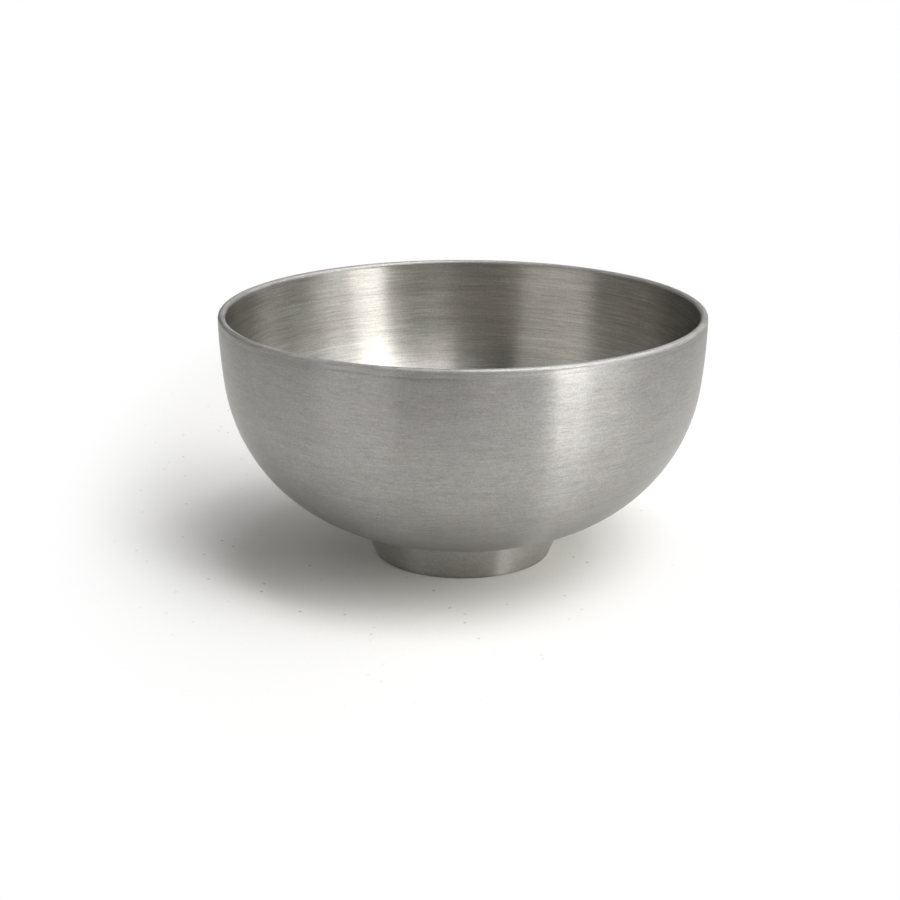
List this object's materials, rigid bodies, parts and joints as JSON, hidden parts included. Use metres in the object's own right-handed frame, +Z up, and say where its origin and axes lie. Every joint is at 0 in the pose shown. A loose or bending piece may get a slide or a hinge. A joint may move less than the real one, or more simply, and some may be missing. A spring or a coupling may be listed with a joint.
{
  "type": "shaving bowl",
  "caption": "Deep round shaving bowl of brushed stainless steel with a rolled lip and a tapered ring foot, double-walled, for whipping up lather.",
  "frame": {"origin": "on the table, under the middle of the foot ring", "axes": "+Z up along the bowl's axis of turning; X and Y are any two level directions"},
  "size_m": [0.115, 0.115, 0.0603],
  "materials": {
    "outer_steel": "satin, brushed round the bowl",
    "inner_steel": "satin, brushed round the bowl, with a smoother lip",
    "foot_steel": "satin, brushed round the ring",
    "plug_steel": "satin, turned",
    "weld_steel": "as welded, slightly dull"
  },
  "bodies": {
    "root": {"outer_bowl": "outer_steel", "inner_bowl": "inner_steel", "rim_weld": "weld_steel", "foot_ring": "foot_steel", "foot_weld": "weld_steel", "vent_plug": "plug_steel"}
  },
  "joints": []
}
